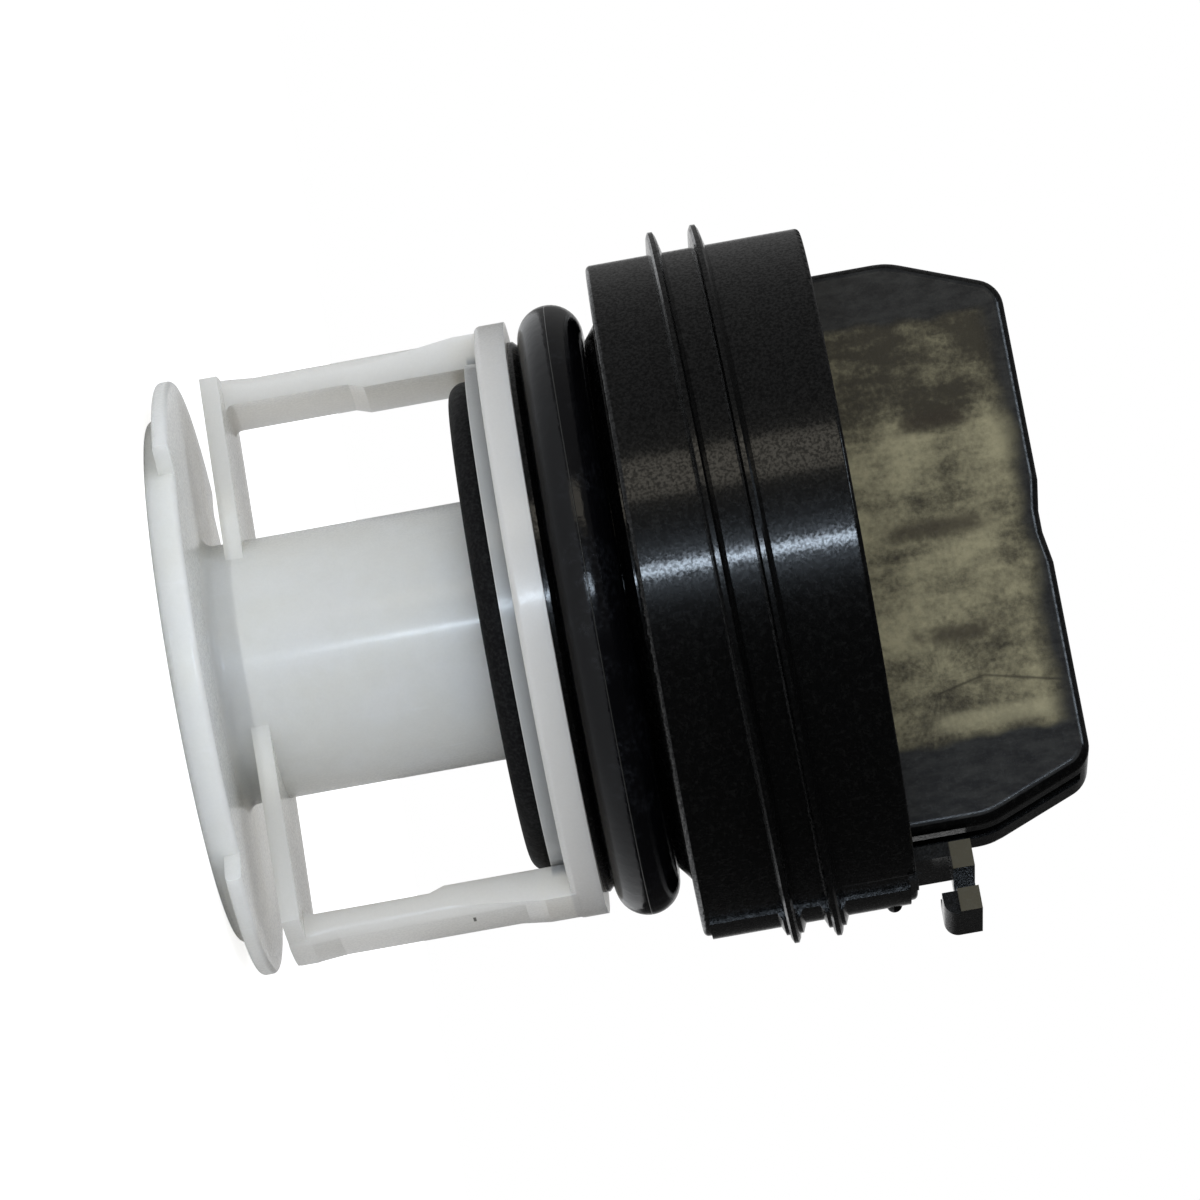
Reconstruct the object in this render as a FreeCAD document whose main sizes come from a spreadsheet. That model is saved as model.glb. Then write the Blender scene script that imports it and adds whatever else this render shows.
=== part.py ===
import FreeCAD, Part
import math
import os
import re
import Sketcher
from FreeCAD import Placement, Rotation, Vector

# Drain pump filter of a washing machine: a white sieve insert with a rubber washer round its
# hub, and a black screw cap that carries an O-ring, a two-turn thread, a grip and a latch.
# The part stands on the insert's end disc. Z runs along the axis, from the disc to the grip,
# and the grip, the two bars and the latch lie in the XZ plane, with the latch at +X.

SIZES = [
    # End disc and its two lobes
    ("disc_radius", 26.5),
    ("disc_thick", 3.1),
    ("disc_round", 0.6),
    ("lobe_reach", 3.6),
    ("lobe_thick", 1.6),
    ("lobe_half_angle", 44.8),
    ("lobe_turn", 9.5),
    ("lobe_round", 0.5),
    # Hub tube, closed by the end disc
    ("hub_radius", 13.1),
    ("hub_wall", 2.0),
    ("hub_floor", 2.2),
    ("hub_base_round", 1.1),
    # Crossbar above the end disc
    ("crossbar_lift", 2.5),
    ("crossbar_thick", 1.8),
    ("crossbar_end_half", 8.3),
    ("crossbar_middle_half", 10.2),
    ("corner_round", 0.8),
    # The two bars between crossbar and flange
    ("bar_turn", -3.0),
    ("bar_inset", 0.2),
    ("bar_thick", 2.6),
    ("bar_half_width", 4.4),
    ("bar_edge_round", 1.0),
    ("bar_step", 0.55),
    ("bar_step_lift", 12.6),
    ("bar_step_ramp", 1.5),
    ("lip_height", 0.25),
    ("lip_flat", 2.2),
    ("lip_ramp", 2.8),
    ("foot_height", 0.25),
    ("foot_ramp", 2.0),
    ("foot_length", 4.6),
    # Shoulder and flange of the insert
    ("cage_height", 24.8),
    ("shoulder_thick", 1.5),
    ("shoulder_step", 3.6),
    ("flange_radius", 30.0),
    ("flange_thick", 3.05),
    ("flange_round", 0.6),
    # Rubber washer under the shoulder
    ("washer_inset", 1.6),
    ("washer_thick", 2.2),
    ("washer_round", 1.7),
    ("washer_fit", 0.05),
    # O-ring and the groove that holds it
    ("ring_wire", 6.5),
    ("ring_inner", 24.4),
    ("ring_play", 0.05),
    ("groove_wall", 1.0),
    ("groove_wall_height", 3.5),
    ("groove_wall_bevel", 0.5),
    # Plug of the cap above the groove
    ("plug_radius", 28.1),
    ("plug_bevel", 1.1),
    ("plug_bevel_run", 1.4),
    ("plug_wall", 2.6),
    ("cap_floor", 3.0),
    # Skirt and the web that joins it to the plug
    ("skirt_radius", 34.0),
    ("skirt_wall", 2.2),
    ("skirt_lift", 1.35),
    ("skirt_height", 21.6),
    ("skirt_round", 0.5),
    ("web_depth", 3.8),
    ("web_thick", 2.0),
    # Step that the mould's slide left on the skirt, next to the latch
    ("parting_step", 0.4),
    ("parting_start", -5.5),
    ("parting_sweep", 23.5),
    ("parting_margin", 0.8),
    # Thread rib, and its thicker stretch on the parting step
    ("thread_height", 2.2),
    ("thread_pitch", 4.3),
    ("thread_turns", 2.0),
    ("thread_start_angle", 104.6),
    ("thread_start_lift", 5.8),
    ("thread_tip_half", 0.45),
    ("thread_steep_run", 0.3),
    ("thread_slope_run", 0.6),
    ("thread_root_sink", 0.8),
    ("flare_height", 1.3),
    ("flare_tip_half", 0.85),
    ("flare_run", 0.9),
    # Grip
    ("grip_shift", 0.35),
    ("grip_thick", 12.5),
    ("grip_height", 18.9),
    ("grip_slope_drop", 10.8),
    ("grip_slope_run", 4.3),
    ("grip_bend_round", 7.0),
    ("grip_corner_round", 3.0),
    ("grip_edge_round", 1.2),
    ("notch_middle", 0.05),
    ("notch_floor_half", 1.1),
    ("notch_mouth_half", 4.3),
    ("notch_depth", 0.5),
    ("grip_slot_width", 3.6),
    ("grip_slot_depth", 6.0),
    ("grip_slot_shift", 1.0),
    # Latch on the +X side
    ("latch_inset", 3.2),
    ("latch_gap", 1.3),
    ("latch_leaf_thick", 1.4),
    ("latch_half_width", 6.0),
    ("latch_lift", 3.55),
    ("latch_head_thick", 2.15),
    ("latch_head_length", 7.0),
    ("latch_notch_offset", 2.7),
    ("latch_notch_width", 2.0),
    ("latch_notch_depth", 8.5),
    ("latch_nose_drop", 1.5),
    ("latch_nose_offset", 3.8),
    ("latch_nose_round", 1.4),
    ("latch_nose_width", 11.0),
    ("latch_link_thick", 0.9),
    ("latch_link_width", 5.0),
    # Spigot that centres the insert on the cap, and its key
    ("spigot_play", 0.1),
    ("spigot_wall", 2.0),
    ("spigot_length", 10.0),
    ("key_half_width", 1.5),
    ("key_height", 1.2),
    ("key_length", 4.0),
    ("key_play", 0.15),
]

# Radii and heights that several pieces share, worked out from the driving dimensions
CROSSBAR_LOW = "(disc_thick + crossbar_lift)"
CROSSBAR_HIGH = f"({CROSSBAR_LOW} + crossbar_thick)"
SHOULDER_LOW = f"({CROSSBAR_HIGH} + cage_height)"
FLANGE_LOW = f"({SHOULDER_LOW} + shoulder_thick)"
FLANGE_TOP = f"({FLANGE_LOW} + flange_thick)"
SHOULDER_RADIUS = "(flange_radius - shoulder_step)"
HUB_BORE = "(hub_radius - hub_wall)"
GROOVE_FLOOR = "(ring_inner - ring_play)"
GROOVE_LOW = f"({FLANGE_TOP} + groove_wall)"
GROOVE_HIGH = f"({GROOVE_LOW} + ring_wire + 2 * ring_play)"
CAP_FLOOR_HIGH = f"({FLANGE_TOP} + cap_floor)"
SKIRT_LOW = f"({GROOVE_HIGH} + skirt_lift)"
SKIRT_TOP = f"({SKIRT_LOW} + skirt_height)"
SKIRT_INNER = "(skirt_radius - skirt_wall)"
WEB_HIGH = f"({SKIRT_TOP} - web_depth)"
WEB_LOW = f"({WEB_HIGH} - web_thick)"
WEB_MIDDLE = f"({WEB_HIGH} - web_thick / 2)"
GRIP_TOP = f"({SKIRT_TOP} + grip_height)"
GRIP_BEND = f"({GRIP_TOP} - grip_slope_drop)"
LATCH_INNER = "(skirt_radius - latch_inset)"
GRIP_HALF = f"({LATCH_INNER} - latch_gap - grip_shift)"
GRIP_TOP_HALF = f"({GRIP_HALF} - grip_slope_run)"
LATCH_OUTER = f"({LATCH_INNER} + latch_head_length)"
LATCH_LOW = f"({SKIRT_TOP} + latch_lift)"
LATCH_HIGH = f"({LATCH_LOW} + latch_head_thick)"

NEAR = 1e-4
GUESS_RADIUS = 10

doc = FreeCAD.newDocument("pump_filter")
sheet = doc.addObject("Spreadsheet::Sheet", "Sizes")
for row, (name, number) in enumerate(SIZES, start=1):
    sheet.set(f"A{row}", name)
    sheet.set(f"B{row}", str(number))
    sheet.setAlias(f"B{row}", name)
probe = doc.addObject("App::FeaturePython", "Probe")
probe.addProperty("App::PropertyFloat", "Reading")
doc.recompute()


def formula(text):
    """Turns the plain size names of a formula into references to the sheet."""
    return re.sub(r"\b[a-z]+(_[a-z]+)+\b", lambda found: "Sizes." + found[0], text)


def bind(thing, prop, text):
    thing.setExpression(prop, formula(text))


def size(text):
    """Value in millimetres or degrees of a formula of the driving dimensions."""
    bind(probe, "Reading", text)
    probe.recompute()
    return probe.Reading


def new_body(label):
    body = doc.addObject("PartDesign::Body", label)
    body.Label = label
    return body


def origin_part(body, role):
    return next(part for part in body.Origin.OriginFeatures if part.Role == role)


def new_sketch(body, name, role, shift=None, turn=None):
    """Sketch on an origin plane, moved along its normal by shift and turned about Z by turn."""
    sketch = body.newObject("Sketcher::SketchObject", name)
    sketch.AttachmentSupport = (origin_part(body, role), [""])
    sketch.MapMode = "FlatFace"
    if turn:
        normal = Vector(0, 1, 0) if role == "XZ_Plane" else Vector(0, 0, 1)
        sketch.AttachmentOffset = Placement(Vector(), Rotation(normal, 1))
        bind(sketch, "AttachmentOffset.Rotation.Angle", turn)
    if shift:
        bind(sketch, "AttachmentOffset.Base.z", shift)
    return sketch


def close_outline(sketch, corners):
    """Straight sides through the corners, each placed by a formula for its two coordinates."""
    count = len(corners)
    turns = [math.tau * i / count for i in range(count)]
    start = [Vector(math.cos(turn), math.sin(turn), 0) * GUESS_RADIUS for turn in turns]
    for i in range(count):
        sketch.addGeometry(Part.LineSegment(start[i], start[(i + 1) % count]), False)
    for i in range(count):
        sketch.addConstraint(Sketcher.Constraint("Coincident", i, 2, (i + 1) % count, 1))
    for i, corner in enumerate(corners):
        for axis, text, guess in zip("XY", corner, start[i]):
            rule = Sketcher.Constraint("Distance" + axis, -1, 1, i, 1, guess)
            index = sketch.addConstraint(rule)
            bind(sketch, f"Constraints[{index}]", text)


def revolve(body, name, corners, sweep=None, turn=None, cut=False):
    """Outline of radius and height turned about Z, all round or by the formula in sweep."""
    sketch = new_sketch(body, name + "_outline", "XZ_Plane", turn=turn)
    close_outline(sketch, corners)
    feature = body.newObject("PartDesign::Groove" if cut else "PartDesign::Revolution", name)
    feature.Profile = sketch
    feature.ReferenceAxis = (sketch, ["V_Axis"])
    feature.Angle = 360
    if sweep:
        feature.Midplane = True
        bind(feature, "Angle", sweep)
    doc.recompute()
    return feature


def extrude(body, name, role, corners, length, shift=None, turn=None, both_ways=False, cut=False):
    """Pad or pocket of an outline; both_ways centres it on its plane."""
    sketch = new_sketch(body, name + "_outline", role, shift=shift, turn=turn)
    close_outline(sketch, corners)
    feature = body.newObject("PartDesign::Pocket" if cut else "PartDesign::Pad", name)
    feature.Profile = sketch
    feature.Midplane = both_ways
    bind(feature, "Length", length)
    doc.recompute()
    return feature


def wind(body, name, corners, turns, turn):
    """Outline of radius and height swept up a right-hand helix of the thread's pitch."""
    sketch = new_sketch(body, name + "_outline", "XZ_Plane", turn=turn)
    close_outline(sketch, corners)
    rib = body.newObject("PartDesign::AdditiveHelix", name)
    rib.Profile = sketch
    rib.ReferenceAxis = (sketch, ["V_Axis"])
    rib.Mode = "pitch-turns-angle"
    bind(rib, "Pitch", "thread_pitch")
    bind(rib, "Turns", turns)
    doc.recompute()
    return rib


def copy_round(body, name, features, count):
    """Repeats features evenly about the axis and makes the result the body's last step."""
    pattern = body.newObject("PartDesign::PolarPattern", name)
    pattern.Originals = features
    pattern.Axis = (origin_part(body, "Z_Axis"), [""])
    pattern.Angle = 360
    pattern.Occurrences = count
    body.Tip = pattern
    doc.recompute()
    return pattern


def round_edges(body, name, radius, wanted):
    """Fillet of every edge of the body so far that the test picks."""
    base = body.Tip
    picked = [f"Edge{i}" for i, edge in enumerate(base.Shape.Edges, start=1) if wanted(edge)]
    if not picked:
        raise RuntimeError(f"no edge found for {name}")
    feature = body.newObject("PartDesign::Fillet", name)
    feature.Base = (base, picked)
    bind(feature, "Radius", radius)
    doc.recompute()
    return feature


def ends_of(edge):
    return edge.Vertexes[0].Point, edge.Vertexes[-1].Point


def middle_of(edge):
    return edge.valueAt((edge.FirstParameter + edge.LastParameter) / 2)


def radius_of(point):
    return math.hypot(point.x, point.y)


def on_circle(*places):
    """Test for arcs about the Z axis whose radius and height are one of the places."""
    def wanted(edge):
        if not isinstance(edge.Curve, Part.Circle):
            return False
        centre = edge.Curve.Center
        if radius_of(centre) > NEAR:
            return False
        return any(abs(edge.Curve.Radius - radius) < NEAR and abs(centre.z - height) < NEAR
                   for radius, height in places)
    return wanted


def upright(radius, low):
    """Test for edges parallel to Z at a distance from the axis, all above the height low."""
    def wanted(edge):
        if not isinstance(edge.Curve, Part.Line):
            return False
        ends = ends_of(edge)
        if abs(ends[0].z - ends[1].z) < NEAR:
            return False
        return all(abs(radius_of(end) - radius) < NEAR and end.z > low for end in ends)
    return wanted


def across(*places):
    """Test for edges parallel to Y that cross the XZ plane at one of the places."""
    def wanted(edge):
        if not isinstance(edge.Curve, Part.Line):
            return False
        first, last = ends_of(edge)
        if math.hypot(first.x - last.x, first.z - last.z) > NEAR:
            return False
        return any(math.hypot(first.x - x, first.z - z) < NEAR for x, z in places)
    return wanted


def along_side(depth, low):
    """Test for edges in either plane y = +-depth whose middle lies above the height low."""
    def wanted(edge):
        points = [middle_of(edge), *ends_of(edge)]
        in_plane = all(abs(abs(point.y) - depth) < NEAR for point in points)
        return in_plane and points[0].z > low
    return wanted


def build_filter_insert():
    """White moulding: end disc with lobes, hub tube, crossbar, two bars, shoulder and flange."""
    body = new_body("filter_insert")
    revolve(body, "turned_core", [
        ("0", "0"),
        ("disc_radius", "0"),
        ("disc_radius", "disc_thick"),
        ("hub_radius", "disc_thick"),
        ("hub_radius", SHOULDER_LOW),
        (SHOULDER_RADIUS, SHOULDER_LOW),
        (SHOULDER_RADIUS, FLANGE_LOW),
        ("flange_radius", FLANGE_LOW),
        ("flange_radius", FLANGE_TOP),
        ("0", FLANGE_TOP),
    ])
    round_edges(body, "disc_rounding", "disc_round",
                on_circle((size("disc_radius"), 0), (size("disc_radius"), size("disc_thick"))))
    round_edges(body, "flange_rounding", "flange_round",
                on_circle((size("flange_radius"), size(FLANGE_LOW))))
    round_edges(body, "hub_base", "hub_base_round",
                on_circle((size("hub_radius"), size("disc_thick"))))
    bar_outer = "(flange_radius - bar_inset)"
    bar_inner = f"({bar_outer} - bar_thick)"
    beyond = "(flange_radius + crossbar_end_half)"
    extrude(body, "crossbar", "XY_Plane", [
        (beyond, "-crossbar_end_half"),
        (beyond, "crossbar_end_half"),
        ("0", "crossbar_middle_half"),
        (f"-{beyond}", "crossbar_end_half"),
        (f"-{beyond}", "-crossbar_end_half"),
        ("0", "-crossbar_middle_half"),
    ], "crossbar_thick", shift=CROSSBAR_LOW, turn="bar_turn")
    revolve(body, "crossbar_ends", [
        (bar_outer, CROSSBAR_LOW),
        (f"2 * {beyond}", CROSSBAR_LOW),
        (f"2 * {beyond}", CROSSBAR_HIGH),
        (bar_outer, CROSSBAR_HIGH),
    ], cut=True)
    lobe_root = "disc_radius - 2 * disc_round"
    lobe_tip = "disc_radius + lobe_reach"
    lobe_low = "disc_thick - lobe_thick"
    lobe = revolve(body, "lobe", [
        (lobe_root, lobe_low),
        (lobe_tip, lobe_low),
        (lobe_tip, "disc_thick"),
        (lobe_root, "disc_thick"),
    ], sweep="2 * lobe_half_angle", turn="lobe_turn")
    lip_radius = f"{bar_outer} + lip_height"
    foot_radius = f"{bar_outer} + foot_height"
    foot_low = f"({FLANGE_LOW} - foot_length)"
    foot_high = f"{FLANGE_LOW} + flange_round"
    step_low = f"{CROSSBAR_HIGH} + bar_step_lift"
    bar = revolve(body, "bar", [
        (bar_inner, CROSSBAR_LOW),
        (lip_radius, CROSSBAR_LOW),
        (lip_radius, f"{CROSSBAR_LOW} + lip_flat"),
        (bar_outer, f"{CROSSBAR_LOW} + lip_flat + lip_ramp"),
        (bar_outer, foot_low),
        (foot_radius, f"{foot_low} + foot_ramp"),
        (foot_radius, foot_high),
        (f"{bar_inner} - bar_step", foot_high),
        (f"{bar_inner} - bar_step", f"{step_low} + bar_step_ramp"),
        (bar_inner, step_low),
    ], sweep=f"2 * asin(bar_half_width / {bar_outer})", turn="bar_turn")
    copy_round(body, "lobes_and_bars", [lobe, bar], 2)
    round_edges(body, "bar_edges", "bar_edge_round",
                upright(size(bar_outer), size(CROSSBAR_HIGH)))
    round_edges(body, "lobe_rounding", "lobe_round",
                on_circle((size(lobe_tip), size(lobe_low)), (size(lobe_tip), size("disc_thick"))))
    round_edges(body, "corner_rounding", "corner_round",
                on_circle((size(bar_inner), size(CROSSBAR_HIGH))))
    above = f"{FLANGE_TOP} + flange_round"
    revolve(body, "hub_bore", [
        ("0", "hub_floor"),
        (HUB_BORE, "hub_floor"),
        (HUB_BORE, above),
        ("0", above),
    ], cut=True)
    key_reach = f"{HUB_BORE} + key_height"
    key_side = "(key_half_width + key_play)"
    extrude(body, "key_slot", "XY_Plane", [
        ("0", f"-{key_side}"),
        (key_reach, f"-{key_side}"),
        (key_reach, key_side),
        ("0", key_side),
    ], "key_length + key_play", shift=FLANGE_TOP, cut=True)
    return body


def build_rubber_washer():
    """Flat rubber washer round the hub, seated under the insert's shoulder."""
    body = new_body("rubber_washer")
    low = f"({SHOULDER_LOW} - washer_thick)"
    outer = f"({SHOULDER_RADIUS} - washer_inset)"
    revolve(body, "turned_washer", [
        ("hub_radius + washer_fit", low),
        (outer, low),
        (outer, SHOULDER_LOW),
        ("hub_radius + washer_fit", SHOULDER_LOW),
    ])
    round_edges(body, "washer_rounding", "washer_round", on_circle((size(outer), size(low))))
    return body


def build_o_ring():
    """O-ring that fills the groove of the cap."""
    ring = doc.addObject("Part::Torus", "o_ring")
    ring.Label = "o_ring"
    bind(ring, "Radius1", "ring_inner + ring_wire / 2")
    bind(ring, "Radius2", "ring_wire / 2")
    bind(ring, "Placement.Base.z", f"{GROOVE_LOW} + ring_play + ring_wire / 2")
    return ring


def build_screw_cap():
    """Black moulding: groove, plug, skirt with thread, grip, latch and spigot."""
    body = new_body("screw_cap")
    wall_radius = "(ring_inner + groove_wall_height)"
    plug_inner = "plug_radius - plug_wall"
    cup_inner = f"{GROOVE_FLOOR} - plug_wall"
    bevel_run = f"min(plug_bevel_run; (plug_radius - {GROOVE_FLOOR}) / 2)"
    revolve(body, "turned_cap", [
        ("0", FLANGE_TOP),
        (wall_radius, FLANGE_TOP),
        (wall_radius, f"{GROOVE_LOW} - groove_wall_bevel"),
        (f"{wall_radius} - groove_wall_bevel", GROOVE_LOW),
        (GROOVE_FLOOR, GROOVE_LOW),
        (GROOVE_FLOOR, GROOVE_HIGH),
        (f"plug_radius - {bevel_run}", GROOVE_HIGH),
        ("plug_radius", f"{GROOVE_HIGH} + plug_bevel"),
        ("plug_radius", WEB_LOW),
        (SKIRT_INNER, WEB_LOW),
        (SKIRT_INNER, SKIRT_LOW),
        ("skirt_radius", SKIRT_LOW),
        ("skirt_radius", SKIRT_TOP),
        (SKIRT_INNER, SKIRT_TOP),
        (SKIRT_INNER, WEB_HIGH),
        (plug_inner, WEB_HIGH),
        (plug_inner, f"{GROOVE_HIGH} + plug_wall + plug_bevel"),
        (cup_inner, f"{GROOVE_HIGH} + plug_wall"),
        (cup_inner, CAP_FLOOR_HIGH),
        ("0", CAP_FLOOR_HIGH),
    ])
    round_edges(body, "skirt_rounding", "skirt_round",
                on_circle((size("skirt_radius"), size(SKIRT_LOW)),
                          (size("skirt_radius"), size(SKIRT_TOP))))
    add_parting_step(body)
    add_thread(body)
    add_grip(body)
    add_latch(body)
    add_spigot(body)
    return body


def add_parting_step(body):
    """Shallow raised strip along the skirt, where the mould's slide met it."""
    inside = "skirt_radius - skirt_wall / 2"
    outside = "skirt_radius + parting_step"
    low = f"{SKIRT_LOW} + parting_margin"
    high = f"{SKIRT_TOP} - parting_margin"
    revolve(body, "parting_strip", [
        (inside, low),
        (outside, low),
        (outside, high),
        (inside, high),
    ], sweep="parting_sweep", turn="parting_start + parting_sweep / 2")


def add_thread(body):
    """Rib that runs round the skirt; its lower flank is steep and its upper flank slopes."""
    root = "skirt_radius - thread_root_sink"
    tip = "(skirt_radius + thread_height)"
    start = f"({SKIRT_LOW} + thread_start_lift)"
    wind(body, "thread", [
        (root, f"{start} - thread_tip_half - thread_steep_run"),
        (f"{tip} - thread_tip_half", f"{start} - thread_tip_half"),
        (tip, f"{start} - thread_tip_half / 2"),
        (tip, f"{start} + thread_tip_half / 2"),
        (f"{tip} - thread_tip_half", f"{start} + thread_tip_half"),
        (root, f"{start} + thread_tip_half + thread_slope_run"),
    ], "thread_turns", "thread_start_angle")
    flare_tip = "skirt_radius + flare_height"
    first_turn = "(360 + parting_start - thread_start_angle) / 360"
    for lap in range(round(size("thread_turns"))):
        level = f"({start} + thread_pitch * ({first_turn} + {lap}))"
        wind(body, f"thread_flare_{lap + 1}", [
            (root, f"{level} - flare_tip_half - flare_run"),
            (flare_tip, f"{level} - flare_tip_half"),
            (flare_tip, f"{level} + flare_tip_half"),
            (root, f"{level} + flare_tip_half + flare_run"),
        ], "parting_sweep / 360", "parting_start")


def add_grip(body):
    """Paddle across the cap, with a dip in its end and a slot along each of its two edges."""
    cup_half = f"sqrt(({GROOVE_FLOOR} - plug_wall / 2) ^ 2 - (grip_thick / 2) ^ 2)"
    root_half = "plug_radius - plug_wall / 2"
    widening = f"{GROOVE_HIGH} + plug_bevel"
    root = [
        (cup_half, f"{CAP_FLOOR_HIGH} - cap_floor / 2"),
        (cup_half, GROOVE_HIGH),
        (root_half, f"{widening} + plug_wall"),
        (root_half, WEB_MIDDLE),
    ]
    paddle = [
        (GRIP_HALF, WEB_MIDDLE),
        (GRIP_HALF, GRIP_BEND),
        (GRIP_TOP_HALF, GRIP_TOP),
    ]
    dip = [
        ("notch_middle + notch_mouth_half", GRIP_TOP),
        ("notch_middle + notch_floor_half", f"{GRIP_TOP} - notch_depth"),
        ("notch_middle - notch_floor_half", f"{GRIP_TOP} - notch_depth"),
        ("notch_middle - notch_mouth_half", GRIP_TOP),
    ]
    left_paddle = [(f"-{x}", z) for x, z in reversed(paddle)]
    left_root = [(f"-({x})", z) for x, z in reversed(root)]
    shifted = [(f"{x} + grip_shift", z) for x, z in paddle + dip + left_paddle]
    outline = root + shifted + left_root
    extrude(body, "grip", "XZ_Plane", outline, "grip_thick", both_ways=True)
    middle = size("grip_shift")
    reach, bend = size(GRIP_HALF), size(GRIP_BEND)
    round_edges(body, "grip_bends", "min(grip_bend_round; grip_slope_drop)",
                across((middle + reach, bend), (middle - reach, bend)))
    reach, top = size(GRIP_TOP_HALF), size(GRIP_TOP)
    round_edges(body, "grip_corners", "min(grip_corner_round; grip_slope_drop / 2)",
                across((middle + reach, top), (middle - reach, top)))
    round_edges(body, "grip_rim", "grip_edge_round",
                along_side(size("grip_thick / 2"), size(f"{WEB_HIGH} + grip_edge_round")))
    slot_floor = f"({GRIP_HALF} - grip_slot_depth)"
    beyond = f"({GRIP_HALF} + latch_gap)"
    slot_end = f"{GRIP_TOP} - grip_edge_round"
    for name, side in (("slot_right", ""), ("slot_left", "-")):
        extrude(body, name, "XZ_Plane", [
            (f"{side}{slot_floor} + grip_shift", WEB_HIGH),
            (f"{side}{beyond} + grip_shift", WEB_HIGH),
            (f"{side}{beyond} + grip_shift", slot_end),
            (f"{side}{GRIP_TOP_HALF} + grip_shift", slot_end),
            (f"{side}{slot_floor} + grip_shift", GRIP_BEND),
        ], "grip_slot_width", shift="grip_slot_shift", both_ways=True, cut=True)


def add_latch(body):
    """Springy leaf that rises from the web and carries a notched head with a rounded nose."""
    leaf_outer = f"{LATCH_INNER} + latch_leaf_thick"
    width = "2 * latch_half_width"
    extrude(body, "latch_leaf", "XZ_Plane", [
        (LATCH_INNER, WEB_MIDDLE),
        (leaf_outer, WEB_MIDDLE),
        (leaf_outer, LATCH_HIGH),
        (LATCH_INNER, LATCH_HIGH),
    ], width, both_ways=True)
    extrude(body, "latch_head", "XZ_Plane", [
        (LATCH_INNER, LATCH_LOW),
        (LATCH_OUTER, LATCH_LOW),
        (LATCH_OUTER, LATCH_HIGH),
        (LATCH_INNER, LATCH_HIGH),
    ], width, both_ways=True)
    nose_low = f"({LATCH_LOW} - latch_nose_drop)"
    nose_start = f"({LATCH_INNER} + latch_nose_offset)"
    nose_shift = "latch_nose_width / 2 - latch_half_width"
    extrude(body, "latch_nose", "XZ_Plane", [
        (nose_start, nose_low),
        (LATCH_OUTER, nose_low),
        (LATCH_OUTER, LATCH_HIGH),
        (nose_start, LATCH_HIGH),
    ], "latch_nose_width", shift=nose_shift, both_ways=True)
    round_edges(body, "nose_rounding", "latch_nose_round",
                across((size(LATCH_OUTER), size(nose_low))))
    link_inner = f"{nose_start} - latch_link_thick / 2"
    link_outer = f"{nose_start} + latch_link_thick / 2"
    link_high = f"{LATCH_LOW} + latch_link_thick"
    link_root = "skirt_radius - latch_link_thick"
    extrude(body, "latch_link", "XZ_Plane", [
        (link_root, f"{SKIRT_TOP} - latch_link_thick"),
        ("skirt_radius", f"{SKIRT_TOP} - latch_link_thick"),
        ("skirt_radius", SKIRT_TOP),
        (link_outer, nose_low),
        (link_outer, link_high),
        (link_inner, link_high),
        (link_inner, nose_low),
        (link_root, SKIRT_TOP),
    ], "latch_link_width", shift="latch_half_width - latch_link_width / 2", both_ways=True)
    notch_start = f"({LATCH_INNER} + latch_notch_offset)"
    notch_end = f"{notch_start} + latch_notch_width"
    extrude(body, "latch_notch", "XZ_Plane", [
        (notch_start, f"{nose_low} - latch_notch_width"),
        (notch_end, f"{nose_low} - latch_notch_width"),
        (notch_end, f"{LATCH_HIGH} + latch_notch_width"),
        (notch_start, f"{LATCH_HIGH} + latch_notch_width"),
    ], "latch_notch_depth", shift="latch_half_width - latch_notch_depth / 2",
        both_ways=True, cut=True)


def add_spigot(body):
    """Tube under the cap that fits the hub's bore, with a key that stops the insert turning."""
    outer = f"({HUB_BORE} - spigot_play)"
    inner = f"{outer} - spigot_wall"
    low = f"{FLANGE_TOP} - spigot_length"
    seat = f"{FLANGE_TOP} + cap_floor / 2"
    revolve(body, "spigot", [
        (inner, low),
        (outer, low),
        (outer, seat),
        (inner, seat),
    ])
    key_root = f"{outer} - spigot_wall / 2"
    key_tip = f"{HUB_BORE} + key_height - spigot_play"
    extrude(body, "key", "XY_Plane", [
        (key_root, "-key_half_width"),
        (key_tip, "-key_half_width"),
        (key_tip, "key_half_width"),
        (key_root, "key_half_width"),
    ], "key_length + cap_floor / 2", shift=f"{FLANGE_TOP} - key_length")


NODES = [build_filter_insert(), build_rubber_washer(), build_o_ring(), build_screw_cap()]
doc.recompute()

for thing in doc.Objects:
    if "Invalid" in thing.State or "Error" in thing.State:
        raise RuntimeError(f"{thing.Label} did not build: {thing.State}")
for node in NODES:
    if node.Shape.isNull() or not node.Shape.isValid():
        raise RuntimeError(f"{node.Label} is not a sound solid")

os.makedirs("parts", exist_ok=True)
for node in NODES:
    node.Shape.exportStep(f"parts/{node.Label}.step")
    print(node.Label, len(node.Shape.Solids), "solid,", round(node.Shape.Volume), "mm3")
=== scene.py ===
import math

import bmesh
import bpy
from mathutils import Matrix, Vector


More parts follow.
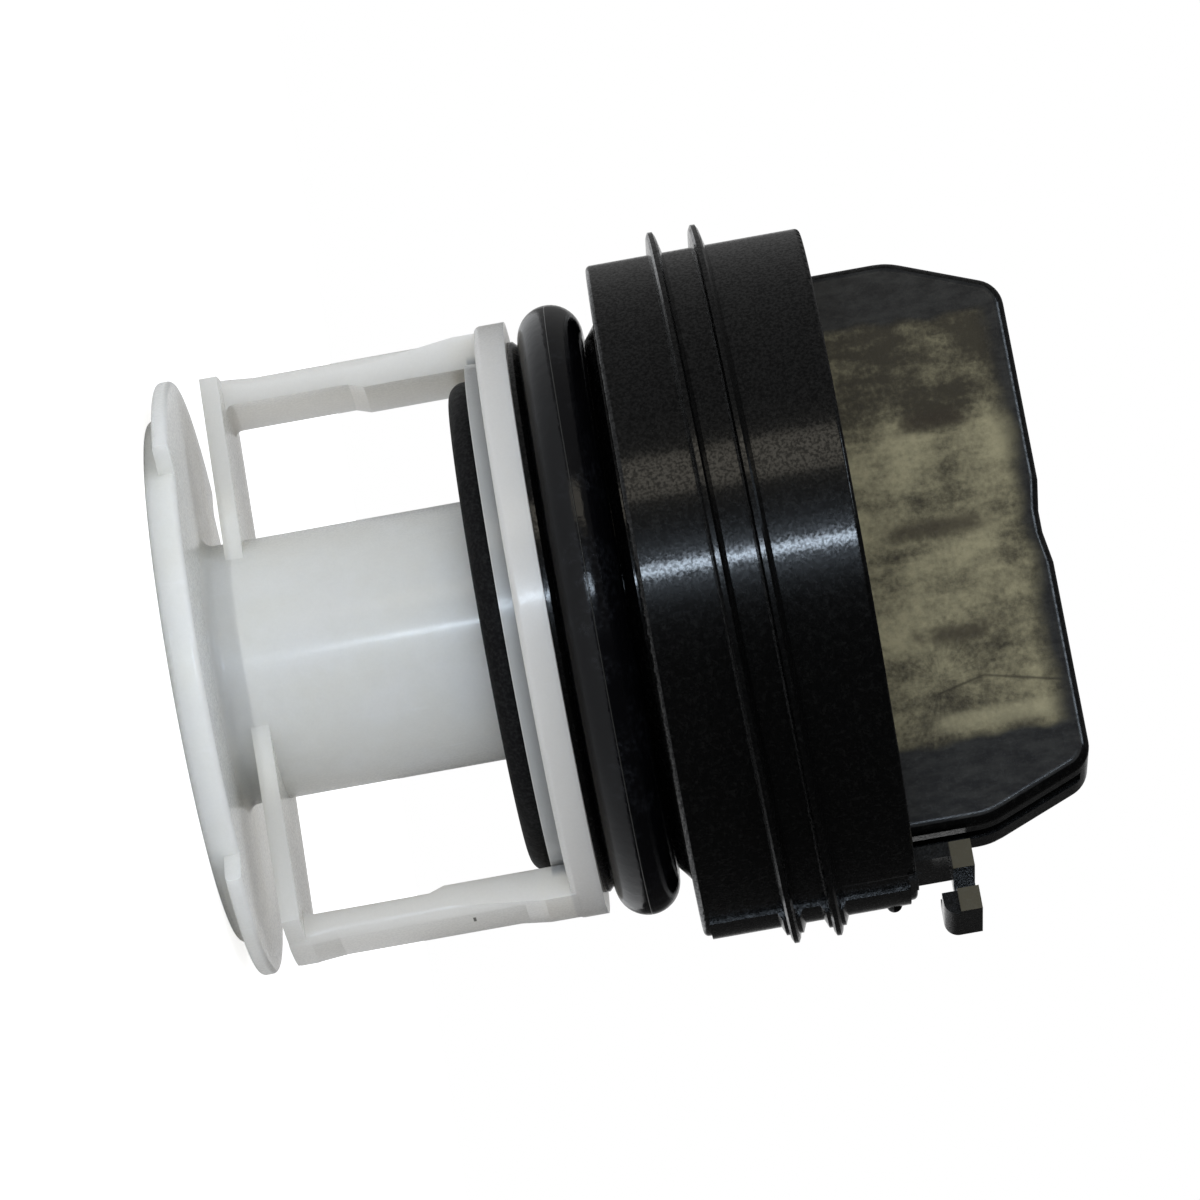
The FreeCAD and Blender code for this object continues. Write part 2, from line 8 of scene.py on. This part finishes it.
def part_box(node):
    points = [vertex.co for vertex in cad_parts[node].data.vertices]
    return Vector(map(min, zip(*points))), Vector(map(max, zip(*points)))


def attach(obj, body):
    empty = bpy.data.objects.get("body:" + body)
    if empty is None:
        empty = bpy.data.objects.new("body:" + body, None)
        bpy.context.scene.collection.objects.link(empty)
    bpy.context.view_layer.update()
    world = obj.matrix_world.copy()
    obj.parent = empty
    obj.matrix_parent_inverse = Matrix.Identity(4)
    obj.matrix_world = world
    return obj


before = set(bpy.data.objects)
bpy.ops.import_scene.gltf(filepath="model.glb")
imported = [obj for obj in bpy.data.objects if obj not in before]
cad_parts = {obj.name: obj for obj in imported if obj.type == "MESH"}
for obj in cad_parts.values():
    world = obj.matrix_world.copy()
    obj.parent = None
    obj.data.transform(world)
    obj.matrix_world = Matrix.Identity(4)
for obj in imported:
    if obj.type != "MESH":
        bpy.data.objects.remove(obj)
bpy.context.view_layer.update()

# Washer pump filter: a white sieve insert with a rubber washer, and a black screw cap with an
# O-ring, a thread, a grip and a latch. The photograph shows it lying on its side, with the
# axis nearly level and the grip to the right, so the camera is rolled to that view.

MM = 0.001

# Camera. It looks at the middle of the side that faces TOWARD, square to the axis, and its up
# direction is rolled until the axis runs as in the photograph.
VIEW_TURN = math.radians(14.6)
AXIS_ROLL = math.radians(10.15)
CAMERA_DISTANCE = 0.577
CAMERA_HEIGHT = 0.0527
CAMERA_LENS = 173.1
SENSOR = 36.0
AIM_HEIGHT = 0.0413
AIM_SIDE = 0.00095

TOWARD = Vector((math.sin(VIEW_TURN), -math.cos(VIEW_TURN), 0))
UPWARD = Vector((-math.cos(VIEW_TURN), -math.sin(VIEW_TURN), 0))
ALONG = Vector((0, 0, 1))

# Light levels: what the surroundings give to dull surfaces, and what glossy ones mirror of
# the studio below and above the part, besides the white backdrop right behind it
AMBIENT_BELOW = 0.56
AMBIENT_ABOVE = 0.7
STUDIO_BELOW = 0.02
STUDIO_ABOVE = 0.24
BACKDROP_EDGE = 0.95
BACKDROP_FADE = 3.0

# Floor: a white sheet that shows the shadow near the part and plain white further out
FLOOR_HALF = 0.3
FLOOR_GLOW = 0.75
SHADOW_REACH = 0.12
SHADOW_FADE = 0.16

# Places on the insert in millimetres
DISC_TOP = 3.1
HUB_RADIUS = 13.1
FLANGE_LOW = 33.7
SCRATCH = (29.6, -3.4, 23.9)

# Grip face in millimetres: the panel between the outer ribs inside the paddle, and the sink
# marks that the inner ribs leave on it
PANEL_MIDDLE = -0.6
PANEL_HALF = 21.4
PANEL_LOW = 60.0
PANEL_HIGH = 82.5
PANEL_DEPTH = 6.25
RIB_SPACING = 11.0
GATE = (15.0, 73.0)
FLOW_BEND = (15.0, 77.3)
FLOW_SLOPE = 0.24
# Middle along x of the painted highlight patch on the panel
HIGHLIGHT_MIDDLE = 19.2
LATCH_DEPTH = 6.0
LATCH_START = 30.6
LATCH_LOW = 70.85

# Small moulding marks of the cap in millimetres: a nub on the parting strip, and two burrs on
# the upper lap of the thread at these turns in degrees past its start
NUB = (33.1, 8.6, 64.9)
NUB_RADIUS = 0.8
BURR_TURNS = (515.7, 574.6)
BURR_RADIUS = 0.4
THREAD_START = 104.6
THREAD_LOW = 51.5
THREAD_PITCH = 4.3
THREAD_TIP = 35.7


def add_camera():
    data = bpy.data.cameras.new("camera")
    data.lens = CAMERA_LENS
    data.sensor_width = SENSOR
    camera = bpy.data.objects.new("camera", data)
    bpy.context.scene.collection.objects.link(camera)
    place = Vector((0, 0, CAMERA_HEIGHT)) + CAMERA_DISTANCE * TOWARD
    aim = Vector((0, 0, AIM_HEIGHT)) + AIM_SIDE * UPWARD
    back = (place - aim).normalized()
    up = math.sin(AXIS_ROLL) * ALONG + math.cos(AXIS_ROLL) * UPWARD
    right = up.cross(back).normalized()
    up = back.cross(right)
    turned = Matrix((right, up, back)).transposed().to_4x4()
    camera.matrix_world = Matrix.Translation(place) @ turned
    bpy.context.scene.camera = camera


def add_lamp(name, tilt, lift, distance, width, length, power, color):
    """Area lamp that shines on the middle of the part.

    tilt turns it from the camera's side towards the photograph's top, and lift moves it along
    the part's axis towards the grip, both in degrees."""
    data = bpy.data.lights.new(name, "AREA")
    data.shape = "RECTANGLE"
    data.size = width
    data.size_y = length
    data.energy = power
    data.color = color
    lamp = bpy.data.objects.new(name, data)
    bpy.context.scene.collection.objects.link(lamp)
    tilt, lift = math.radians(tilt), math.radians(lift)
    level = math.cos(tilt) * TOWARD + math.sin(tilt) * UPWARD
    back = (math.cos(lift) * level + math.sin(lift) * ALONG).normalized()
    along = (ALONG - ALONG.dot(back) * back).normalized()
    right = along.cross(back)
    turned = Matrix((right, along, back)).transposed().to_4x4()
    middle = Vector((0, 0, 0.045))
    lamp.matrix_world = Matrix.Translation(middle + distance * back) @ turned
    lamp.visible_camera = False
    return lamp


class Shading:
    """Principled material under construction; lengths in its patterns are millimetres."""

    def __init__(self, name):
        self.material = bpy.data.materials.new(name)
        self.material.use_nodes = True
        self.tree = self.material.node_tree
        self.tree.nodes.clear()
        self.output = self.add("ShaderNodeOutputMaterial")
        self.shader = self.add("ShaderNodeBsdfPrincipled")
        self.join(self.shader.outputs["BSDF"], self.output.inputs["Surface"])
        place = self.add("ShaderNodeVectorMath", operation="SCALE")
        self.join(self.add("ShaderNodeTexCoord").outputs["Object"], place.inputs[0])
        place.inputs["Scale"].default_value = 1 / MM
        self.place = place.outputs["Vector"]
        split = self.add("ShaderNodeSeparateXYZ")
        self.join(self.place, split.inputs["Vector"])
        self.x, self.y, self.z = split.outputs

    def add(self, kind, **settings):
        made = self.tree.nodes.new(kind)
        for key, value in settings.items():
            setattr(made, key, value)
        return made

    def join(self, output, socket):
        self.tree.links.new(output, socket)

    def feed(self, socket, value):
        """Gives a socket a constant or another node's output."""
        if isinstance(value, bpy.types.NodeSocket):
            self.join(value, socket)
        else:
            socket.default_value = value

    def set(self, name, value):
        self.feed(self.shader.inputs[name], value)

    def math(self, operation, *values):
        made = self.add("ShaderNodeMath", operation=operation)
        for socket, value in zip(made.inputs, values):
            self.feed(socket, value)
        return made.outputs["Value"]

    def noise(self, scale, detail=4.0, rough=0.55, stretch=(1, 1, 1), place=None):
        """Noise with scale cells per millimetre; stretch scales the position first."""
        mapping = self.add("ShaderNodeMapping")
        mapping.inputs["Scale"].default_value = stretch
        self.join(place or self.place, mapping.inputs["Vector"])
        texture = self.add("ShaderNodeTexNoise")
        texture.inputs["Scale"].default_value = scale
        texture.inputs["Detail"].default_value = detail
        texture.inputs["Roughness"].default_value = rough
        self.join(mapping.outputs["Vector"], texture.inputs["Vector"])
        return texture.outputs["Fac"]

    def span(self, value, low, high, to_low=0.0, to_high=1.0):
        """Smooth step from to_low at low to to_high at high."""
        made = self.add("ShaderNodeMapRange", interpolation_type="SMOOTHSTEP")
        made.inputs["From Min"].default_value = low
        made.inputs["From Max"].default_value = high
        made.inputs["To Min"].default_value = to_low
        made.inputs["To Max"].default_value = to_high
        self.join(value, made.inputs["Value"])
        return made.outputs["Result"]

    def radius(self):
        """Distance from the part's axis."""
        squares = [self.math("MULTIPLY", value, value) for value in (self.x, self.y)]
        return self.math("SQRT", self.math("ADD", *squares))

    def near(self, value, middle, half, soft):
        """Mask of 1 where value is within half of middle, with soft edges."""
        away = self.math("ABSOLUTE", self.math("SUBTRACT", value, middle))
        return self.span(away, half - soft / 2, half + soft / 2, 1.0, 0.0)

    def every(self, *masks):
        """Product of masks."""
        result = masks[0]
        for mask in masks[1:]:
            result = self.math("MULTIPLY", result, mask)
        return result

    def mixed(self, factor, first, second):
        made = self.add("ShaderNodeMix", data_type="RGBA")
        colors = [socket for socket in made.inputs if socket.type == "RGBA"]
        self.join(factor, made.inputs["Factor"])
        self.feed(colors[0], first)
        self.feed(colors[1], second)
        return next(socket for socket in made.outputs if socket.type == "RGBA")

    def bump(self, height, depth):
        """Relief of a height from 0 to 1 over a depth in millimetres."""
        made = self.add("ShaderNodeBump")
        made.inputs["Strength"].default_value = 1.0
        made.inputs["Distance"].default_value = depth * MM
        self.join(height, made.inputs["Height"])
        self.join(made.outputs["Normal"], self.shader.inputs["Normal"])


def linear(*levels):
    """Linear colour of three 8-bit sRGB levels."""
    def channel(level):
        part = level / 255
        return part / 12.92 if part <= 0.04045 else ((part + 0.055) / 1.055) ** 2.4
    return tuple(channel(level) for level in levels) + (1.0,)


def insert_plastic():
    """Milky polypropylene with faint clouds, flow lines and painted shade below the flange."""
    look = Shading("milky_plastic")
    cloud = look.noise(0.12)
    flow = look.noise(0.9, stretch=(1, 1, 0.12))
    tone = look.mixed(look.span(cloud, 0.35, 0.65), linear(246, 243, 233), linear(252, 250, 241))
    tone = look.mixed(look.span(flow, 0.62, 0.8), tone, linear(254, 252, 244))
    rim = look.every(look.span(look.radius(), HUB_RADIUS + 2, HUB_RADIUS + 6),
                     look.span(look.z, DISC_TOP, DISC_TOP + 1))
    tone = look.mixed(rim, tone, linear(222, 219, 213))
    tone = look.mixed(look.span(look.z, FLANGE_LOW - 0.2, FLANGE_LOW + 0.2), tone,
                      linear(202, 200, 197))
    # Painted shade: darker on the recessed shoulder just below the flange
    painted_recess_shade = look.every(look.near(look.z, FLANGE_LOW - 0.75, 0.75, 0.3),
                        look.span(look.radius(), 27.0, 28.0, 1.0, 0.0))
    tone = look.mixed(painted_recess_shade, tone, linear(164, 165, 165))
    scratch = look.every(look.near(look.z, SCRATCH[2], 0.14, 0.1),
                         look.near(look.y, SCRATCH[1], 0.6, 0.3),
                         look.near(look.x, SCRATCH[0], 0.8, 0.2))
    tone = look.mixed(scratch, tone, linear(90, 88, 84))
    look.set("Base Color", tone)
    look.set("Roughness", look.span(look.noise(0.6), 0.3, 0.7, 0.3, 0.4))
    look.set("Subsurface Weight", 0.9)
    look.set("Subsurface Radius", (1.0, 0.97, 0.92))
    cage = look.every(look.span(look.radius(), 17.0, 21.0), look.span(look.z, 4.0, 5.0),
                      look.span(look.z, 30.0, 31.0, 1.0, 0.0))
    gap = look.near(look.z, 4.5, 1.5, 1.0)
    look.set("Subsurface Scale", look.span(look.math("MAXIMUM", cage, gap), 0.0, 1.0,
                                           0.006, 0.014))
    look.set("Coat Weight", look.span(look.noise(4.0, detail=2), 0.35, 0.65, 0.2, 0.6))
    look.set("Coat Roughness", 0.15)
    look.bump(look.noise(1.5), 0.02)
    return look.material


def washer_rubber():
    look = Shading("washer_rubber")
    speck = look.noise(3.0)
    look.set("Base Color", look.mixed(look.span(speck, 0.35, 0.75),
                                      linear(16, 16, 17), linear(34, 34, 34)))
    look.set("Roughness", look.span(look.noise(1.2), 0.3, 0.7, 0.5, 0.62))
    look.set("Specular IOR Level", 0.06)
    look.bump(speck, 0.03)
    return look.material


def ring_rubber():
    """Moulded ring with a parting line round its outside and dusty patches."""
    look = Shading("ring_rubber")
    low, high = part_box("o_ring")
    middle = (low[2] + high[2]) / 2 / MM
    dust = look.every(look.span(look.noise(0.25), 0.48, 0.62), look.span(look.noise(2.0), 0.4, 0.7))
    line = look.near(look.z, middle, 0.05, 0.06)
    tone = look.mixed(dust, linear(6, 6, 8), linear(22, 23, 26))
    look.set("Base Color", look.mixed(line, tone, linear(44, 44, 42)))
    look.set("Roughness", look.span(look.noise(0.5), 0.35, 0.65, 0.1, 0.2))
    look.set("Specular IOR Level", 0.27)
    look.bump(look.math("ADD", look.noise(0.7), look.math("MULTIPLY", line, 1.5)), 0.04)
    return look.material


def grip_panel(look):
    """Mask of the grip's two faces between the outer ribs, with soft uneven edges."""
    uneven = look.math("MULTIPLY", look.math("SUBTRACT", look.noise(0.12, detail=2), 0.5), 4.0)
    return look.every(look.near(look.math("ADD", look.x, uneven), PANEL_MIDDLE, PANEL_HALF, 1.2),
                      look.near(look.math("ABSOLUTE", look.y), PANEL_DEPTH, 0.1, 0.05),
                      look.span(look.z, PANEL_LOW, PANEL_LOW + 0.2),
                      look.span(look.math("ADD", look.z, uneven), PANEL_HIGH,
                                PANEL_HIGH + 2.5, 1.0, 0.0))


def painted_panel_sheen(look):
    """Painted olive reflection on the grip's faces, mottled by blotches, streaks across the grip,
    splay from the gate and grain; painted shade towards its ends and at the sink marks, a painted
    highlight patch, and a dark bent flow line."""
    blotch = look.noise(0.16, detail=3)
    streak = look.noise(0.7, stretch=(1, 1, 0.3))
    across = look.math("SUBTRACT", look.x, GATE[0])
    along = look.math("SUBTRACT", look.z, GATE[1])
    turn = look.math("ARCTAN2", across, along)
    polar = look.add("ShaderNodeCombineXYZ")
    look.join(look.math("MULTIPLY", turn, 7.0), polar.inputs["X"])
    reach = look.math("SQRT", look.math("ADD", look.math("MULTIPLY", across, across),
                                        look.math("MULTIPLY", along, along)))
    look.join(look.math("MULTIPLY", reach, 0.12), polar.inputs["Y"])
    splay = look.noise(1.6, place=polar.outputs["Vector"])
    nearby = look.span(reach, 7.0, 13.0, 1.0, 0.0)
    lines = look.mixed(look.math("MULTIPLY", nearby, 0.35), streak, splay)
    grain = look.noise(1.8, detail=6, rough=0.75)
    level = None
    for pattern, share in ((blotch, 0.42), (lines, 0.28), (grain, 0.3)):
        part = look.math("MULTIPLY", pattern, share)
        level = part if level is None else look.math("ADD", level, part)
    # Painted shade: the panel darker towards its end at low x, and a little at high x
    shade = look.math("ADD", look.span(look.x, -14.0, -9.0, -0.12, 0.02),
                      look.span(look.x, 10.0, 13.0, 0.0, -0.05))
    level = look.span(look.math("ADD", level, shade), 0.34, 0.66)
    # Painted shade of the sink marks over the inner ribs, in patches
    sink = None
    for place in (-1, 0, 1):
        mark = look.near(look.x, PANEL_MIDDLE + place * RIB_SPACING, 0.9, 1.6)
        sink = mark if sink is None else look.math("ADD", sink, mark)
    painted_sink_shade = look.every(sink, look.span(look.noise(0.25), 0.35, 0.55),
                        look.span(look.z, 69.0, 72.0), look.span(look.z, 79.0, 82.0, 1.0, 0.0))
    # Painted reflection: the olive light that the mottled face of the grip catches
    tone = look.mixed(level, linear(54, 50, 41), linear(146, 139, 111))
    # Painted highlight: a bright patch on the panel
    painted_highlight = look.every(look.near(look.x, HIGHLIGHT_MIDDLE, 0.9, 1.2), look.span(look.z, 70.0, 74.0))
    tone = look.mixed(look.math("MULTIPLY", painted_highlight, 0.45), tone, linear(158, 151, 122))
    # Painted shade of the sink marks
    tone = look.mixed(look.math("MULTIPLY", painted_sink_shade, 0.8), tone, linear(52, 46, 38))
    bend = look.math("ABSOLUTE", look.math("SUBTRACT", look.z, FLOW_BEND[1]))
    course = look.math("SUBTRACT", look.x, look.math("MULTIPLY", bend, FLOW_SLOPE))
    flow = look.every(look.near(course, FLOW_BEND[0], 0.12, 0.3), look.span(look.z, 71.0, 73.0))
    return look.mixed(look.math("MULTIPLY", flow, 0.7), tone, linear(46, 42, 34))


def cap_plastic():
    """Black plastic: nearly smooth with fine specks, and painted reflections on the grip and latch.
    """
    look = Shading("black_plastic")
    speck = look.noise(1.6, detail=6, rough=0.75)
    fine = look.noise(3.5, detail=3)
    plain = look.mixed(look.span(speck, 0.5, 0.75), linear(5, 5, 5), linear(18, 18, 17))
    panel = grip_panel(look)
    strips = look.every(look.near(look.math("ABSOLUTE", look.y), PANEL_DEPTH, 0.1, 0.05),
                        look.span(look.z, PANEL_LOW, PANEL_LOW + 0.2),
                        look.math("SUBTRACT", 1.0, panel))
    latch = look.every(look.near(look.math("ABSOLUTE", look.y), LATCH_DEPTH, 0.1, 0.05),
                       look.span(look.x, LATCH_START, LATCH_START + 0.2),
                       look.span(look.z, LATCH_LOW - 0.1, LATCH_LOW + 0.1))
    # Painted sheen: the flat strips beside the panel a greyer black, in streaks
    strip_sheen_streaks = look.span(look.noise(0.8, detail=6, rough=0.7, stretch=(1, 1, 0.4)), 0.35, 0.65)
    tone = look.mixed(strips, plain, look.mixed(strip_sheen_streaks, linear(30, 30, 31), linear(47, 47, 46)))
    # Painted warm reflection on the latch's flat faces
    tone = look.mixed(latch, tone, linear(72, 68, 56))
    # Painted olive reflection on the grip's faces
    look.set("Base Color", look.mixed(panel, tone, painted_panel_sheen(look)))
    faces = look.math("MAXIMUM", strips, panel)
    look.set("Roughness", look.span(speck, 0.35, 0.7, 0.2, 0.32))
    look.set("Specular IOR Level", 0.1)
    look.set("Coat Weight", look.every(look.span(fine, 0.38, 0.62, 0.25, 1.0),
                                       look.span(faces, 0.0, 1.0, 1.0, 0.15)))
    look.set("Coat Roughness", look.span(fine, 0.3, 0.7, 0.07, 0.14))
    look.set("Coat IOR", 1.4)
    look.bump(look.math("ADD", speck, look.math("MULTIPLY", fine, 0.5)), 0.014)
    return look.material


def floor_white():
    """White sheet; camera rays see it brighter, and past the shadow's reach as plain white."""
    look = Shading("floor_white")
    look.set("Base Color", (0.85, 0.85, 0.85, 1))
    look.set("Roughness", 0.9)
    look.set("Specular IOR Level", 0.1)
    path = look.add("ShaderNodeLightPath")
    white = look.span(look.radius(), SHADOW_REACH / MM, SHADOW_FADE / MM)
    glow = look.add("ShaderNodeEmission")
    look.join(look.math("MULTIPLY", path.outputs["Is Camera Ray"],
                        look.span(white, 0.0, 1.0, FLOOR_GLOW, 1.0)), glow.inputs["Strength"])
    both = look.add("ShaderNodeAddShader")
    look.join(look.shader.outputs["BSDF"], both.inputs[0])
    look.join(glow.outputs["Emission"], both.inputs[1])
    look.join(both.outputs["Shader"], look.output.inputs["Surface"])
    return look.material


def add_floor():
    mesh = bpy.data.meshes.new("floor")
    half = FLOOR_HALF
    mesh.from_pydata([(-half, -half, 0), (half, -half, 0), (half, half, 0), (-half, half, 0)],
                     [], [(0, 1, 2, 3)])
    floor = bpy.data.objects.new("floor", mesh)
    bpy.context.scene.collection.objects.link(floor)
    mesh.materials.append(floor_white())


def add_world():
    """White to the camera. Glossy and clear surfaces mirror the white backdrop behind the part
    and a dark studio in front of it, and dull ones get an even ambient light."""
    world = bpy.data.worlds.new("studio")
    bpy.context.scene.world = world
    world.use_nodes = True
    tree = world.node_tree
    tree.nodes.clear()
    output = tree.nodes.new("ShaderNodeOutputWorld")
    background = tree.nodes.new("ShaderNodeBackground")
    background.inputs["Color"].default_value = (1, 1, 1, 1)
    tree.links.new(background.outputs["Background"], output.inputs["Surface"])
    path = tree.nodes.new("ShaderNodeLightPath")
    direction = tree.nodes.new("ShaderNodeTexCoord")
    behind = tree.nodes.new("ShaderNodeVectorMath")
    behind.operation = "DOT_PRODUCT"
    behind.inputs[1].default_value = -TOWARD
    tree.links.new(direction.outputs["Generated"], behind.inputs[0])
    nearness = tree.nodes.new("ShaderNodeMapRange")
    nearness.inputs["From Min"].default_value = BACKDROP_EDGE
    nearness.inputs["From Max"].default_value = 1.0
    tree.links.new(behind.outputs["Value"], nearness.inputs["Value"])
    height = tree.nodes.new("ShaderNodeVectorMath")
    height.operation = "DOT_PRODUCT"
    height.inputs[1].default_value = UPWARD
    tree.links.new(direction.outputs["Generated"], height.inputs[0])
    studio = tree.nodes.new("ShaderNodeMapRange")
    studio.inputs["From Min"].default_value = -0.4
    studio.inputs["From Max"].default_value = 1.0
    studio.inputs["To Min"].default_value = STUDIO_BELOW
    studio.inputs["To Max"].default_value = STUDIO_ABOVE
    tree.links.new(height.outputs["Value"], studio.inputs["Value"])
    fading = tree.nodes.new("ShaderNodeMath")
    fading.operation = "POWER"
    fading.inputs[1].default_value = BACKDROP_FADE
    tree.links.new(nearness.outputs["Result"], fading.inputs[0])
    backdrop = tree.nodes.new("ShaderNodeMix")
    backdrop.inputs["B"].default_value = 1.0
    tree.links.new(fading.outputs["Value"], backdrop.inputs["Factor"])
    tree.links.new(studio.outputs["Result"], backdrop.inputs["A"])
    mirrored = tree.nodes.new("ShaderNodeMath")
    mirrored.operation = "MAXIMUM"
    tree.links.new(path.outputs["Is Glossy Ray"], mirrored.inputs[0])
    tree.links.new(path.outputs["Is Transmission Ray"], mirrored.inputs[1])
    ambient = tree.nodes.new("ShaderNodeMapRange")
    ambient.inputs["From Min"].default_value = -1.0
    ambient.inputs["From Max"].default_value = 1.0
    ambient.inputs["To Min"].default_value = AMBIENT_BELOW
    ambient.inputs["To Max"].default_value = AMBIENT_ABOVE
    tree.links.new(height.outputs["Value"], ambient.inputs["Value"])
    level = tree.nodes.new("ShaderNodeMix")
    tree.links.new(ambient.outputs["Result"], level.inputs["A"])
    tree.links.new(mirrored.outputs["Value"], level.inputs["Factor"])
    tree.links.new(backdrop.outputs["Result"], level.inputs["B"])
    seen = tree.nodes.new("ShaderNodeMix")
    seen.inputs["B"].default_value = 1.0
    tree.links.new(path.outputs["Is Camera Ray"], seen.inputs["Factor"])
    tree.links.new(level.outputs["Result"], seen.inputs["A"])
    tree.links.new(seen.outputs["Result"], background.inputs["Strength"])


def add_lump(name, place, radius, material):
    """Small round mark of the moulding that rides on the cap."""
    mesh = bpy.data.meshes.new(name)
    shape = bmesh.new()
    bmesh.ops.create_uvsphere(shape, u_segments=20, v_segments=12, radius=radius * MM)
    shape.to_mesh(mesh)
    shape.free()
    for face in mesh.polygons:
        face.use_smooth = True
    mesh.materials.append(material)
    lump = bpy.data.objects.new(name, mesh)
    bpy.context.scene.collection.objects.link(lump)
    lump.location = Vector(place) * MM
    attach(lump, "root")


def add_moulding_marks(material):
    add_lump("strip_nub", NUB, NUB_RADIUS, material)
    for number, turn in enumerate(BURR_TURNS, start=1):
        angle = math.radians(THREAD_START + turn)
        place = (THREAD_TIP * math.cos(angle), THREAD_TIP * math.sin(angle),
                 THREAD_LOW + THREAD_PITCH * turn / 360)
        add_lump(f"thread_burr_{number}", place, BURR_RADIUS, material)


def dress(name, material):
    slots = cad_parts[name].data.materials
    slots.clear()
    slots.append(material)


bpy.context.scene.view_settings.view_transform = "Standard"
add_camera()
add_world()
add_floor()
add_lamp("key", 9.2, 0, 0.9, 0.045, 0.5, 2.6, (0.72, 0.85, 1.0))
add_lamp("soft", 40, 0, 1.0, 0.25, 0.9, 1.15, (1.0, 0.93, 0.78))
add_lamp("side", 38, 56, 0.9, 0.3, 0.3, 1.3, (0.75, 0.87, 1.0))

dress("filter_insert", insert_plastic())
dress("rubber_washer", washer_rubber())
dress("o_ring", ring_rubber())
black_plastic = cap_plastic()
dress("screw_cap", black_plastic)
add_moulding_marks(black_plastic)
